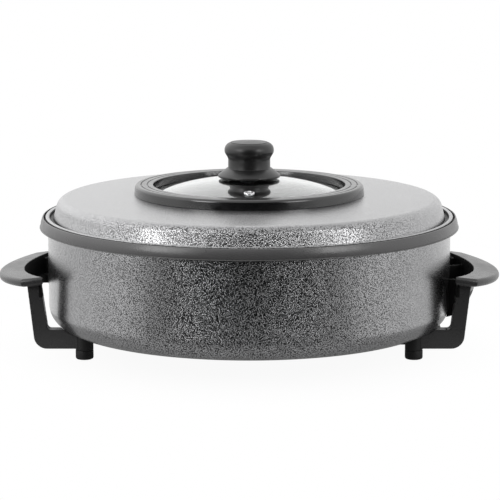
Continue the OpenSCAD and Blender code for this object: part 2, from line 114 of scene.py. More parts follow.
class PanSizes(bpy.types.PropertyGroup):
    """Sizes of the pan and its rim ring"""

    wall_radius: length("Wall radius", "Outside radius of the pan wall", 200)
    wall_thickness: length("Wall thickness", "Thickness of the pan wall", 2.5)
    base_height: length("Base height", "Height of the base above the table", 24)
    base_thickness: length("Base thickness", "Thickness of the base", 4)
    corner_radius: length("Corner radius", "Outside radius between base and wall", 22)
    seat_height: length("Seat height", "Height of the seat for the lid", 129)
    flange_radius: length("Flange radius", "Outside radius of the seat for the lid", 203.8)
    flange: length("Flange", "Thickness of the seat for the lid", 2)
    ring_inner: length("Ring inner radius", "Inside radius of the rim ring's lip", 204.2)
    ring_outer: length("Ring outer radius", "Radius of the rim ring's lower edge", 208.2)
    ring_drop: length("Ring drop", "How far the rim ring hangs below the seat", 6.8)
    ring_lip: length("Ring lip", "Height of the rim ring's lip above the seat", 4)
    foot_radius: length("Foot radius", "Radius of a foot", 8.75)
    foot_height: length("Foot height", "Height of a foot below its leg", 9)


class HandleSizes(bpy.types.PropertyGroup):
    """Where the finish of a handle changes: the painted shade in its finger gap, and the feet's black on its
    bosses
    """

    gap_centre: length("Gap centre", "Distance of the finger gap's centre from the pan's axis", 91.5)
    gap_radius: length("Gap radius", "Radius of the finger gap", 132.7)
    hood_half: length("Hood half width", "How far the hood reaches to the front and to the rear", 50)
    hood_top: length("Hood top", "Height of the hood's upper edge", 78)
    apron_foot: length("Apron foot", "Height above which the legs have ended", 62)
    boss_x: length("Boss X", "Distance of a foot's boss to the side", 161)
    boss_y: length("Boss Y", "Distance of a foot's boss to the front or the rear", 64.5)
    boss_top: length("Boss top", "Height up to which the boss has the foot's finish", 28)


class LidSizes(bpy.types.PropertyGroup):
    """Sizes of the lid and its window"""

    sheet: length("Sheet", "Thickness of the lid's sheet", 1.5)
    flange_height: length("Flange height", "Height of the lid's flange", 130.8)
    bead_radius: length("Bead radius", "Radius of the lid's rolled edge", 2.4)
    bead_centre: length("Bead centre", "Radius on which the rolled edge lies", 200.3)
    skirt_foot: length("Skirt foot", "Radius of the skirt at the flange", 194)
    skirt_lean: angle("Skirt lean", "Lean of the skirt from upright", 12)
    shoulder_radius: length("Shoulder radius", "Outside radius of the lid's shoulder", 10)
    shoulder_centre: length("Shoulder centre", "Radius on which the shoulder's round is centred", 181.608)
    shoulder_height: length("Shoulder height", "Height at which the shoulder's round is centred", 141.006)
    top_height: length("Top height", "Height of the lid's top at the window", 153.8)
    opening: length("Opening radius", "Radius of the lid's opening for the window", 109)
    ring_inner: length("Window ring inner radius", "Inside radius of the window ring", 95.5)
    ring_outer: length("Window ring outer radius", "Outside radius of the window ring", 114.2)
    ring_top: length("Window ring top", "Height of the window ring's top", 163.7)
    glass_top: length("Glass top", "Height of the glass in its middle", 170)
    glass_thickness: length("Glass thickness", "Thickness of the glass", 4)
    glass_edge: length("Glass edge", "Radius of the edge of the glass", 104.2)
    brim_height: length("Brim height", "Height of the flat brim of the glass", 155)
    dome_radius: length("Dome radius", "Radius of the glass dome", 311.508)
    vent_offset: length("Vent offset", "Distance of the steam vent from the middle", 63.5)
    vent_radius: length("Vent radius", "Radius of the steam vent's flange", 5.2)


class KnobSizes(bpy.types.PropertyGroup):
    """Sizes of the knob"""

    foot: length("Foot", "Height of the knob's lower face", 170.2)
    height: length("Height", "Height of the knob", 36)
    cap: length("Cap radius", "Radius of the cap", 24.5)
    neck: length("Neck radius", "Radius of the neck", 20.9)
    guard: length("Guard radius", "Radius of the finger guard", 31)
    recess: length("Recess radius", "Radius of the recess for the soft pad", 11.25)
    bush: length("Bush radius", "Radius of the bush in the knob", 5)


class PanFinishes(bpy.types.PropertyGroup):
    """Colours and grain of the finishes"""

    silver: colour("Hammertone silver", "Colour of the raised pebbles", (0.66, 0.66, 0.67))
    vein: colour("Hammertone vein", "Colour of the hollows between the pebbles", (0.04, 0.04, 0.041))
    pebble: length("Pebble size", "Size of one pebble of the hammertone", 1.0)
    coating: colour("Non-stick coating", "Colour of the coating inside pan and lid", (0.022, 0.022, 0.024))
    rim: colour("Rim ring", "Colour of the rim ring", (0.080, 0.0787, 0.080))
    handle: colour("Handles", "Colour of the handle mouldings", (0.048, 0.0476, 0.048))
    knob: colour("Knob", "Colour of the knob", (0.0016, 0.0016, 0.0017))
    window_ring: colour("Window ring", "Colour of the window ring", (0.0045, 0.0045, 0.0048))
    # Near-black: the feet's own black, made darker as painted shade from the pan above them; the same colour
    # paints the shade in the handle gaps and the lid's groove
    rubber_and_painted_shade: colour("Rubber", "Colour of the feet", (0.0015, 0.0015, 0.0015))
    silicone: colour("Silicone", "Colour of the seals", (0.02, 0.02, 0.021))
    glass: colour("Glass", "Tint of the window", (0.95, 0.98, 0.97))
    steel: colour("Steel", "Colour of the plated fasteners", (0.55, 0.56, 0.58))
    sheath: colour("Heater sheath", "Colour of the heater's tube", (0.20, 0.19, 0.19))
    aluminium: colour("Aluminium", "Colour of the heater straps", (0.62, 0.63, 0.65))
    brass: colour("Brass", "Colour of the brass pieces", (0.66, 0.47, 0.19))
    chrome: colour("Chrome", "Colour of the steam vent", (0.86, 0.86, 0.87))


class StudioSettings(bpy.types.PropertyGroup):
    """Camera, floor and light"""

    camera_distance: length("Camera distance", "Distance of the camera in front of the pan's axis", 2221.8)
    camera_height: length("Camera height", "Height of the camera above the table", 484.3)
    camera_side: length("Camera offset", "Sideways place of the camera", 0.8)
    camera_pitch: angle("Camera pitch", "How far the camera looks down", 9.899)
    focal_length: FloatProperty(
        name="Focal length", description="Focal length on a 36 mm sensor", default=162.44, unit="CAMERA"
    )
    floor_radius: length("Floor radius", "Radius of the round floor", 280)
    floor_tone: number("Floor tone", "Brightness of the floor's own grey, up to 1", 0.35)
    mirrored_floor: number("Mirrored floor", "How white the floor looks in reflections, up to 1", 0.16)
    room_light: number("Room light", "Brightness of the white room", 1.0)
    dusk: number("Lower light", "Brightness of the room below the horizon", 0.85)
    left_light: number("Left light", "How much brighter the room is above and to the left", 0.45)
    dark_inner: angle("Dark side", "Half the angle of the fully dark side of the room", 28)
    dark_outer: angle("Dark side's edge", "Half the angle at which the room is fully bright", 78)
    panel_power: FloatProperty(
        name="Panel power", description="Power of the left softbox", default=8.5, min=0, unit="POWER"
    )
    panel_width: length("Panel width", "Width of a softbox", 700)
    panel_side: length("Panel side", "Length of a softbox's upright side", 800)
    panel_aim: length("Panel aim", "Height on the pan's axis that the softboxes point at", 100)
    panel_distance: length("Panel distance", "Distance of a softbox from the pan's axis", 1700)
    panel_height: length("Panel height", "Height of a softbox above the table", 780)
    left_bearing: angle("Left bearing", "Direction of the left softbox from the front", -46)
    right_bearing: angle("Right bearing", "Direction of the right softbox from the front", 48)
    right_part: number("Right part", "Power of the right softbox as a part of the left one's", 0.8)


def arc(centre_r, centre_z, radius, start, end, steps=8):
    """Points of an arc in an outline, with its angles in degrees."""
    turn = [math.radians(start + (end - start) * i / steps) for i in range(steps + 1)]
    return [(centre_r + radius * math.cos(a), centre_z + radius * math.sin(a)) for a in turn]


def turned(outline, around):
    """A bmesh of the closed outline turned about Z."""
    bm = bmesh.new()
    angles = [2 * math.pi * i / around for i in range(around)]
    circle = [(math.cos(a), math.sin(a)) for a in angles]
    columns = []
    for r, z in outline:
        if r < 1e-6:
            columns.append([bm.verts.new((0, 0, z))] * around)
        else:
            columns.append([bm.verts.new((r * c, r * s, z)) for c, s in circle])
    for lower, upper in zip(columns, columns[1:] + columns[:1]):
        for i in range(around):
            j = (i + 1) % around
            corners = list(dict.fromkeys([lower[i], lower[j], upper[j], upper[i]]))
            if len(corners) > 2:
                bm.faces.new(corners)
    bmesh.ops.recalc_face_normals(bm, faces=bm.faces)
    return bm


def lathe(name, outline, around):
    """A new piece: the closed outline turned about Z."""
    return piece_from(turned(outline, around), name)


def piece_from(bm, name):
    """A smooth-shaded piece from a bmesh, with its sharp edges kept."""
    for face in bm.faces:
        face.smooth = True
    mesh = bpy.data.meshes.new(name)
    bm.to_mesh(mesh)
    bm.free()
    mesh.set_sharp_from_angle(angle=SHARP_ANGLE)
    piece = bpy.data.objects.new(name, mesh)
    bpy.context.scene.collection.objects.link(piece)
    return piece


def softened(node, voxel):
    """A copy of a solid as a new piece, with an even skin and softly rounded edges."""
    piece = bpy.data.objects.new(node.replace("_", "-"), frame["nodes"][node].data.copy())
    bpy.context.scene.collection.objects.link(piece)
    piece.data.materials.clear()
    remesh = piece.modifiers.new("Even skin", "REMESH")
    remesh.mode = "VOXEL"
    remesh.voxel_size = voxel
    remesh.use_smooth_shade = True
    soften = piece.modifiers.new("Soft edges", "SMOOTH")
    soften.factor = 0.5
    soften.iterations = SOFTENING_PASSES
    ready = bpy.data.meshes.new_from_object(piece.evaluated_get(bpy.context.evaluated_depsgraph_get()))
    piece.modifiers.clear()
    piece.data = ready
    return piece


def stand_for(piece, node, material, slot, *areas):
    """Puts a piece in the place of a solid, on that solid's body, with its finish and those of its areas."""
    piece.data.materials.append(material)
    for index, (finish, holds) in enumerate(areas, 1):
        piece.data.materials.append(finish)
        for face in piece.data.polygons:
            if holds(face):
                face.material_index = index
    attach(piece, body_of(node))
    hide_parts(node)


def body_of(node):
    """The name of the body that a solid moves with."""
    bodies = frame["record"]["behaviour"]["bodies"]
    return next(body for body, nodes in bodies.items() if node in nodes)


def dress(node, material):
    """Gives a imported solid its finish."""
    solid = frame["nodes"][node]
    solid.data.materials.clear()
    solid.data.materials.append(material)


class Nodes:
    """Shorthand for building a node tree."""

    def __init__(self, tree, keep=False):
        self.tree = tree
        if not keep:
            tree.nodes.clear()

    def add(self, kind, settings=None, **sockets):
        """A node with its settings, and its sockets set to values or linked to other sockets."""
        node = self.tree.nodes.new(kind)
        for key, value in (settings or {}).items():
            setattr(node, key, value)
        for key, value in sockets.items():
            self.feed(node.inputs[key.replace("_", " ")], value)
        return node

    def feed(self, socket, value):
        """Links a socket to another one, or sets it to a value."""
        if isinstance(value, bpy.types.NodeSocket):
            self.tree.links.new(value, socket)
        else:
            socket.default_value = value

    def feed_all(self, node, values):
        """Feeds a node's sockets, which are given by their index."""
        for index, value in values.items():
            self.feed(node.inputs[index], value)

    def noise(self, place, scale, detail, **more):
        """The value of a noise texture."""
        texture = self.add("ShaderNodeTexNoise", Vector=place, Scale=scale, Detail=detail, **more)
        return texture.outputs["Fac"]

    def spread(self, value, low, high, to_low=0.0, to_high=1.0):
        """Maps a value from one range to another, clamped and eased."""
        node = self.add("ShaderNodeMapRange", {"interpolation_type": "SMOOTHSTEP"})
        self.feed_all(node, {0: value, 1: low, 2: high, 3: to_low, 4: to_high})
        return node.outputs["Result"]

    def mix(self, factor, first, second):
        """A colour mix."""
        node = self.add("ShaderNodeMix", {"data_type": "RGBA"})
        self.feed_all(node, {0: factor, 6: first, 7: second})
        return node.outputs[2]

    def combine(self, operation, first, second):
        """One step of arithmetic."""
        node = self.add("ShaderNodeMath", {"operation": operation})
        self.feed_all(node, {0: first, 1: second})
        return node.outputs[0]

    def flattened(self, direction, upward):
        """A direction with its upward part scaled, brought back to length 1."""
        flat = self.add("ShaderNodeVectorMath", {"operation": "MULTIPLY"})
        self.feed_all(flat, {0: direction, 1: (1.0, 1.0, upward)})
        unit = self.add("ShaderNodeVectorMath", {"operation": "NORMALIZE"})
        self.feed(unit.inputs[0], flat.outputs["Vector"])
        return unit.outputs["Vector"]

    def first(self, kind):
        """The first node of a kind."""
        return next(node for node in self.tree.nodes if node.type == kind)


def shader_group(name, inputs, build):
    """A shader group that is made once, with named sockets, and then shared by the finishes."""
    group = bpy.data.node_groups.get(name)
    if group:
        return group
    group = bpy.data.node_groups.new(name, "ShaderNodeTree")
    for socket, kind, default in inputs:
        made = group.interface.new_socket(socket, in_out="INPUT", socket_type=kind)
        made.default_value = default
    for socket, kind in SKIN_OUTPUTS:
        group.interface.new_socket(socket, in_out="OUTPUT", socket_type=kind)
    nodes = Nodes(group)
    given = nodes.add("NodeGroupInput")
    result = nodes.add("NodeGroupOutput")
    for socket, value in build(nodes, given.outputs).items():
        nodes.feed(result.inputs[socket], value)
    return group


def hammertone_group():
    """Silver pebbles with dark gaps between them."""

    def build(nodes, given):
        place = nodes.add("ShaderNodeTexCoord").outputs["Object"]
        slanted = nodes.add("ShaderNodeMapping", Vector=place, Rotation=PEBBLE_SLANT).outputs["Vector"]
        pebbles = nodes.add("ShaderNodeTexVoronoi", Vector=slanted, Scale=given["Scale"], Randomness=0.85)
        highest = nodes.spread(nodes.noise(place, scale=38.0, detail=2.0), 0.3, 0.7, 0.985, 1.015)
        level = nodes.combine("SUBTRACT", highest, pebbles.outputs["Distance"])
        return {
            "Color": nodes.mix(nodes.spread(level, 0.3, 0.75), given["Vein"], given["Silver"]),
            "Roughness": nodes.spread(level, 0.25, 0.75, 0.34, 0.24),
            "Height": level,
        }

    light, dark = rgba((0.5, 0.5, 0.5)), rgba((0.2, 0.2, 0.2))
    inputs = [("Scale", FLOAT, 400.0), ("Silver", COLOUR, light), ("Vein", COLOUR, dark)]
    return shader_group("Hammertone", inputs, build)


def moulding_group():
    """Fine moulded grain with faint clouds and traces of handling."""

    def build(nodes, given):
        place = nodes.add("ShaderNodeTexCoord").outputs["Object"]
        cloud = nodes.noise(place, scale=24.0, detail=4.0, Roughness=0.6)
        touch = nodes.noise(place, scale=70.0, detail=2.0, Distortion=0.8)
        paler = nodes.mix(0.25, given["Color"], (0.03, 0.03, 0.03, 1))
        clouded = nodes.spread(cloud, 0.35, 0.75, 0.0, 0.6)
        handled = nodes.combine("ADD", given["Roughness"], nodes.spread(touch, 0.3, 0.7, -0.03, 0.03))
        return {
            "Color": nodes.mix(clouded, given["Color"], paler),
            "Roughness": nodes.combine("ADD", handled, nodes.spread(cloud, 0.3, 0.7, -0.03, 0.03)),
            "Height": nodes.noise(place, scale=given["Grain"], detail=3.0, Roughness=0.6),
        }

    black = rgba((0.02, 0.02, 0.02))
    inputs = [("Color", COLOUR, black), ("Grain", FLOAT, 1800.0), ("Roughness", FLOAT, 0.4)]
    return shader_group("Moulded grain", inputs, build)


def worked_metal_group():
    """Fine marks of drawing and plating on small metal pieces."""

    def build(nodes, given):
        place = nodes.add("ShaderNodeTexCoord").outputs["Object"]
        drawn = nodes.add("ShaderNodeMapping", Vector=place, Scale=(1.0, 1.0, 9.0)).outputs["Vector"]
        lines = nodes.noise(drawn, scale=420.0, detail=3.0, Roughness=0.65)
        stain = nodes.noise(place, scale=55.0, detail=4.0, Roughness=0.6)
        stained = nodes.spread(stain, 0.5, 0.8, 0.0, 0.8)
        marked = nodes.spread(lines, 0.3, 0.7, -0.05, 0.08)
        darker = nodes.mix(given["Stain"], given["Color"], (0.05, 0.045, 0.04, 1))
        return {
            "Color": nodes.mix(stained, given["Color"], darker),
            "Roughness": nodes.combine("ADD", given["Roughness"], marked),
            "Height": lines,
        }

    grey = rgba((0.5, 0.5, 0.5))
    inputs = [("Color", COLOUR, grey), ("Roughness", FLOAT, 0.3), ("Stain", FLOAT, 0.5)]
    return shader_group("Worked metal", inputs, build)


def new_finish(name):
    """An empty material with its Principled shader."""
    material = bpy.data.materials.new(name)
    material.use_nodes = True
    nodes = Nodes(material.node_tree)
    shader = nodes.add("ShaderNodeBsdfPrincipled")
    output = nodes.add("ShaderNodeOutputMaterial")
    material.node_tree.links.new(shader.outputs["BSDF"], output.inputs["Surface"])
    return material, nodes, shader


def rgba(colour_value):
    """A colour with full opacity."""
    return (*colour_value, 1.0)


def grouped_finish(name, group, values, strength, distance, **plain):
    """A finish with colour, roughness and relief from a shared group, and plain values for the rest."""
    if name in bpy.data.materials:
        return bpy.data.materials[name]
    material, nodes, shader = new_finish(name)
    skin = nodes.add("ShaderNodeGroup", {"node_tree": group()}, **values)
    bump = nodes.add("ShaderNodeBump", Strength=strength, Distance=distance, Height=skin.outputs["Height"])
    nodes.feed(shader.inputs["Base Color"], skin.outputs["Color"])
    nodes.feed(shader.inputs["Roughness"], skin.outputs["Roughness"])
    nodes.feed(shader.inputs["Normal"], bump.outputs["Normal"])
    for socket, value in plain.items():
        shader.inputs[socket.replace("_", " ")].default_value = value
    return material


def hammertone(name, relief, coat_weight, coat_roughness, grazing, slope, share):
    """Silver and dark hammered enamel under a clear coat, flatter and more even at a grazing angle.

    relief is the strength of the bumps on a face seen straight on. At a grazing angle, grazing scales the
    roughness, and share sets the even tone, from 0 for the vein to 1 for the silver. slope is how much a
    face's lean up or down counts towards that angle.
    """
    looks = bpy.context.scene.pan_finishes
    vein, silver = rgba(looks.vein), rgba(looks.silver)
    material = grouped_finish(
        name, hammertone_group, {"Scale": 1 / looks.pebble}, relief, PEBBLE_HEIGHT * looks.pebble,
        Metallic=1.0, Coat_Weight=coat_weight, Coat_Roughness=coat_roughness,
    )
    nodes = Nodes(material.node_tree, keep=True)
    shader, bump, skin = (nodes.first(kind) for kind in ("BSDF_PRINCIPLED", "BUMP", "GROUP"))
    outward = nodes.flattened(nodes.add("ShaderNodeNewGeometry").outputs["Normal"], slope)
    facing = nodes.add("ShaderNodeLayerWeight", Blend=0.5, Normal=outward).outputs["Facing"]
    nodes.feed(bump.inputs["Strength"], nodes.spread(facing, *RELIEF_FADE, relief, LEAST_RELIEF))
    even = nodes.spread(facing, *TONE_FADE, 0.0, MOST_EVEN)
    middle = tuple(dark + share * (light - dark) for dark, light in zip(vein, silver))
    nodes.feed(skin.inputs["Vein"], nodes.mix(even, vein, middle))
    nodes.feed(skin.inputs["Silver"], nodes.mix(even, silver, middle))
    factor = nodes.spread(facing, *ROUGHNESS_FADE, 1.0, grazing)
    nodes.feed(shader.inputs["Roughness"], nodes.combine("MULTIPLY", skin.outputs["Roughness"], factor))
    return material


def moulded(name, colour_value, roughness, grain=1800.0, relief=0.08, index=1.5):
    """Black moulded plastic or rubber with a fine grain."""
    values = {"Color": rgba(colour_value), "Grain": grain, "Roughness": roughness}
    return grouped_finish(name, moulding_group, values, relief, GRAIN_DEPTH, IOR=index)


def metal(name, colour_value, roughness, relief=0.1, stain=0.5):
    """Bare or plated metal with fine working marks."""
    values = {"Color": rgba(colour_value), "Roughness": roughness, "Stain": stain}
    return grouped_finish(name, worked_metal_group, values, relief, WORKING_DEPTH, Metallic=1.0)


def coating():
    """The dark non-stick coating inside the pan and the lid."""
    looks = bpy.context.scene.pan_finishes
    return moulded("Non-stick coating", looks.coating, roughness=0.36, grain=900.0, relief=0.12)


def foot_rubber():
    """The black of the feet and of the bosses above them, made darker as painted shade from the pan above
    them.
    """
    looks = bpy.context.scene.pan_finishes
    return moulded("Foot rubber", looks.rubber_and_painted_shade, roughness=0.55, grain=1400.0, relief=0.2)


def silicone():
    """The dark silicone of the seals and the pads."""
    return moulded("Silicone", bpy.context.scene.pan_finishes.silicone, roughness=0.5)


def brass():
    """The bare brass of the knob's insert and the probe's sleeve."""
    return metal("Brass", bpy.context.scene.pan_finishes.brass, roughness=0.3)


def clear_glass():
    """Toughened glass with faint cleaning marks."""
    looks = bpy.context.scene.pan_finishes
    material, nodes, shader = new_finish("Window glass")
    place = nodes.add("ShaderNodeTexCoord").outputs["Object"]
    wipe = nodes.noise(place, scale=16.0, detail=5.0, Roughness=0.65, Distortion=1.2)
    nodes.feed(shader.inputs["Roughness"], nodes.spread(wipe, 0.45, 0.85, 0.0, 0.02))
    shader.inputs["Base Color"].default_value = rgba(looks.glass)
    shader.inputs["Transmission Weight"].default_value = 1.0
    shader.inputs["IOR"].default_value = 1.85
    shader.inputs["Coat Weight"].default_value = 0.7
    return material


class PanOperator(bpy.types.Operator):
    """Makes the deep pan and its rim ring"""

    bl_idname = "pizza_pan.make_pan"
    bl_label = "Pan and rim ring"

    def execute(self, context):
        size, looks = context.scene.pan_sizes, context.scene.pan_finishes
        floor = size.base_height + size.base_thickness

        def is_inside(face):
            inward = face.normal.xy.dot(face.center.xy) < 0.0001
            return inward and face.center.z > floor - MM and face.normal.z > -0.1

        pan = lathe("pan", self.pan_outline(size, floor), around=256)
        enamel = hammertone("Hammertone pan", **PAN_ENAMEL)
        stand_for(pan, "pan_shell", enamel, "hammered_pan", (coating(), is_inside))
        ring = lathe("rim-ring", self.ring_outline(size), around=256)
        plastic = moulded("Rim plastic", looks.rim, roughness=0.3, index=1.6)
        stand_for(ring, "rim_ring", plastic, "rim_black")
        return {"FINISHED"}

    def pan_outline(self, size, floor):
        """Base, wall and seat for the lid."""
        inner = size.wall_radius - size.wall_thickness
        corner, inner_corner = size.corner_radius, size.corner_radius - size.base_thickness
        seat, under, lip, bend = size.seat_height, size.seat_height - size.flange, 0.7 * MM, MM
        return (
            [(0, size.base_height)]
            + arc(size.wall_radius - corner, size.base_height + corner, corner, -90, 0, 24)
            + arc(size.wall_radius + bend, under - bend, bend, 180, 90, 5)
            + arc(size.flange_radius - lip, under + lip, lip, -90, 0, 4)
            + arc(size.flange_radius - lip, seat - lip, lip, 0, 90, 4)
            + arc(inner + bend, seat - bend, bend, 90, 180, 5)
            + arc(inner - inner_corner, floor + inner_corner, inner_corner, 0, -90, 24)
            + [(0, floor)]
        )

    def ring_outline(self, size):
        """The rim ring: a hook under the seat, a flare at the foot and a face that curves inwards."""
        seat, inner, foot, play = size.seat_height, size.ring_inner, size.ring_outer, 0.4 * MM
        hook, under, hem = size.wall_radius + play, seat - size.flange, seat - 2 * size.flange
        base, top = seat - size.ring_drop, seat + size.ring_lip
        edge, inset, top_width, rows, bend = 0.5 * MM, 0.9 * MM, 1.1 * MM, 12, 2.2
        ring = [(inner, under), (hook, under), (hook, hem), (inner + play, hem), (foot - 2 * MM, base)]
        ring += arc(foot - edge, base + edge, edge, -90, 40)
        low, high = base + 2.2 * edge, top - 0.3 * MM
        lean = foot - inset - inner - top_width
        for row in range(rows + 1):
            part = row / rows
            ring.append((foot - inset - lean * part**bend, low + (high - low) * part))
        return ring + arc(inner + play, top - play, play, 90, 180, 4)


class HandlesOperator(bpy.types.Operator):
    """Makes the two handle mouldings with softly rounded edges"""

    bl_idname = "pizza_pan.make_handles"
    bl_label = "Handles"

    def execute(self, context):
        size, looks = context.scene.handle_sizes, context.scene.pan_finishes
        plastic = moulded("Handle plastic", looks.handle, roughness=0.28)
        # Painted shade: a near-black matt plastic on the faces of the finger gap, which stands in for the
        # shade there
        painted_gap_shade = moulded("Painted gap shade", looks.rubber_and_painted_shade, roughness=0.6, index=1.3)
        skin, boss = 0.6 * MM, context.scene.pan_sizes.foot_radius + 0.5 * MM

        # Faces of the finger gap, under the hood or facing sideways and down above the legs, that get the
        # painted shade
        def gets_painted_gap_shade(face):
            x, y, z = abs(face.center.x), abs(face.center.y), face.center.z
            if math.hypot(x - size.gap_centre, y) > size.gap_radius + skin:
                return False
            return y < size.hood_half and z < size.hood_top or z > size.apron_foot and face.normal.z < 0.5

        def on_boss(face):
            x, y = abs(face.center.x) - size.boss_x, abs(face.center.y) - size.boss_y
            return math.hypot(x, y) < boss and face.center.z < size.boss_top

        for node in ("left_handle", "right_handle"):
            areas = (painted_gap_shade, gets_painted_gap_shade), (foot_rubber(), on_boss)
            stand_for(softened(node, voxel=skin), node, plastic, "handle_black", *areas)
        return {"FINISHED"}


class FeetOperator(bpy.types.Operator):
    """Makes the four rubber feet, each with a shallow hollow in its rest face"""

    bl_idname = "pizza_pan.make_feet"
    bl_label = "Feet"

    def execute(self, context):
        size = context.scene.pan_sizes
        r, rounding, edge, hollow, land = size.foot_radius, 2 * MM, 0.5 * MM, 0.8 * MM, 3.4 * MM
        outline = (
            [(0, hollow), (r - land - 0.6 * MM, hollow), (r - land, 0), (r - rounding, 0)]
            + arc(r - rounding, rounding, rounding, -90, 0, 8)
            + arc(r - edge, size.foot_height - edge, edge, 0, 90, 4)
            + [(0, size.foot_height)]
        )
        for node in ("front_left_foot", "front_right_foot", "rear_left_foot", "rear_right_foot"):
            low, high = (Vector(corner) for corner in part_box(node))
            middle = (low + high) / 2
            foot = lathe(node.replace("_", "-"), outline, around=64)
            foot.data.transform(Matrix.Translation((middle.x, middle.y, 0)))
            stand_for(foot, node, foot_rubber(), "foot_rubber")
        return {"FINISHED"}


class LidOperator(bpy.types.Operator):
    """Makes the hammered lid"""

    bl_idname = "pizza_pan.make_lid"
    bl_label = "Lid"

    def execute(self, context):
        size, looks = context.scene.lid_sizes, context.scene.pan_finishes
        flange, under = size.flange_height, size.flange_height - size.sheet

        def is_inside(face):
            out = face.normal.xy.dot(face.center.xy)
            under_skirt = out < 0 and under < face.center.z < size.top_height - size.sheet
            return face.normal.z < -0.3 or (under_skirt and face.center.xy.length < size.skirt_foot)

        # Painted shade: faces in the groove between skirt and bead, and on the bead's outer side towards the
        # rim ring
        def gets_painted_groove_shade(face):
            r, z = face.center.xy.length, face.center.z
            beside_bead = abs(r - size.bead_centre) > 0.8 * size.bead_radius
            return beside_bead and r > size.skirt_foot + 0.2 * MM and under < z < flange + 2.3 * MM

        enamel = hammertone("Hammertone lid", **LID_ENAMEL)
        # A near-black plastic that paints the shade in the groove around the lid's edge
        dark = moulded("Painted groove shade", looks.rubber_and_painted_shade, roughness=0.5)
        lid = lathe("lid", self.outline(size), around=256)
        stand_for(lid, "lid_shell", enamel, "hammered_lid", (coating(), is_inside), (dark, gets_painted_groove_shade))
        return {"FINISHED"}

    def outline(self, size):
        """Top, shoulder, leaning skirt and rolled edge, and the same again on the inside."""
        sheet, flange, top, bead = size.sheet, size.flange_height, size.top_height, size.bead_radius
        shoulder = size.shoulder_centre, size.shoulder_height
        bead_height = flange - sheet + bead
        lean, flat = math.degrees(size.skirt_lean), 88
        reach = math.sqrt(bead**2 - (flange - bead_height) ** 2)
        start = math.degrees(math.atan2(flange - bead_height, -reach)) % 360
        crown_foot = size.ring_outer + 2 * MM
        skirt_bend = ((0.3, 1.2), (0.7, 0.2), (1.5, 0))
        return (
            [(size.opening, top - sheet), (size.opening, top), (crown_foot, top)]
            + arc(*shoulder, size.shoulder_radius, flat, lean, 16)
            + [(size.skirt_foot + out * MM, flange + up * MM) for out, up in skirt_bend]
            + arc(size.bead_centre, bead_height, bead, start, -90, 18)
            + [(size.skirt_foot - 1.2 * MM, flange - sheet)]
            + arc(*shoulder, size.shoulder_radius - sheet, lean, flat, 16)
            + [(crown_foot, top - sheet)]
        )


class WindowOperator(bpy.types.Operator):
    """Makes the window ring, the domed glass with its seal and clamp, and the steam vent"""

    bl_idname = "pizza_pan.make_window"
    bl_label = "Window"

    def execute(self, context):
        size, looks = context.scene.lid_sizes, context.scene.pan_finishes
        black = moulded(
            "Window ring plastic", looks.window_ring, roughness=0.17, grain=1600.0, relief=0.03, index=1.75
        )
        ring = lathe("window-ring", self.ring_outline(size), around=256)
        stand_for(ring, "window_ring", black, "ring_black")
        glass = lathe("window-glass", self.glass_outline(size), around=256)
        stand_for(glass, "window_glass", clear_glass(), "glass")
        vent = lathe("vent-eyelet", self.vent_outline(size), around=64)
        tilt = math.asin(size.vent_offset / size.dome_radius)
        vent.data.transform(
            Matrix.Translation((0, 0, size.glass_top - size.dome_radius))
            @ Matrix.Rotation(tilt, 4, "X")
            @ Matrix.Translation((0, 0, size.dome_radius))
        )
        chrome = metal("Vent chrome", looks.chrome, roughness=0.24, relief=0.03, stain=0.05)
        stand_for(vent, "vent_eyelet", chrome, "eyelet_chrome")
        dress("window_clamp", black)
        dress("window_seal", silicone())
        return {"FINISHED"}

    def ring_outline(self, size):
        """The window ring with its two grooves."""
        top, lid_top = size.ring_top, size.top_height
        collar, rest, play = size.opening - 2.4 * MM, size.brim_height + 1.2 * MM, 0.25 * MM
        edge, inner_edge, lean = 3 * MM, 0.8 * MM, 0.6 * MM
        groove = ((0.7, 0), (0.5, 0.25), (0.45, 1.2), (-0.45, 1.2), (-0.5, 0.25), (-0.7, 0))
        ring = [(size.opening, lid_top)]
        ring += [(size.ring_outer - 0.3 * MM, lid_top), (size.ring_outer, lid_top + 0.4 * MM)]
        ring += arc(size.ring_outer - edge - lean, top - edge, edge, 4, 90, 12)
        for part in (0.36, 0.69):
            middle = size.ring_outer - part * (size.ring_outer - size.ring_inner)
            ring += [(middle + side * MM, top - drop * MM) for side, drop in groove]
        ring += arc(size.ring_inner + inner_edge, top - inner_edge, inner_edge, 90, 180, 6)
        return ring + [
            (size.ring_inner, rest), (collar, rest), (collar, lid_top - size.sheet),
            (size.opening - play, lid_top - size.sheet), (size.opening - play, lid_top),
        ]

    def glass_outline(self, size):
        """The dome inside the ring and the flat brim in the seal."""
        centre, steps = size.glass_top - size.dome_radius, 40
        thin, edge, brim = size.dome_radius - size.glass_thickness, size.glass_edge, size.brim_height
        radii = [size.ring_inner * i / steps for i in range(steps + 1)]
        upper = [(r, centre + math.sqrt(size.dome_radius**2 - r**2)) for r in radii]
        lower = [(r, centre + math.sqrt(thin**2 - r**2)) for r in radii]
        return upper + [(edge, brim), (edge, brim - size.glass_thickness)] + lower[::-1]

    def vent_outline(self, size):
        """The eyelet above its place on the dome, flanged above and rolled over below."""
        flange, bore, barrel, below = size.vent_radius, 1.6 * MM, 3.2 * MM, -size.glass_thickness
        top, hem, brow, mouth, roll = 1.2 * MM, below - 0.9 * MM, MM, 0.8 * MM, 0.5 * MM
        return (
            [(barrel, below), (barrel, 0), (flange, 0)]
            + arc(flange - brow, top - brow, brow, 0, 90, 8)
            + arc(bore + mouth, top - mouth, mouth, 90, 180, 6)
            + [(bore, hem)]
            + arc(flange - 1.4 * MM, hem + roll, roll, -90, 40, 6)
        )


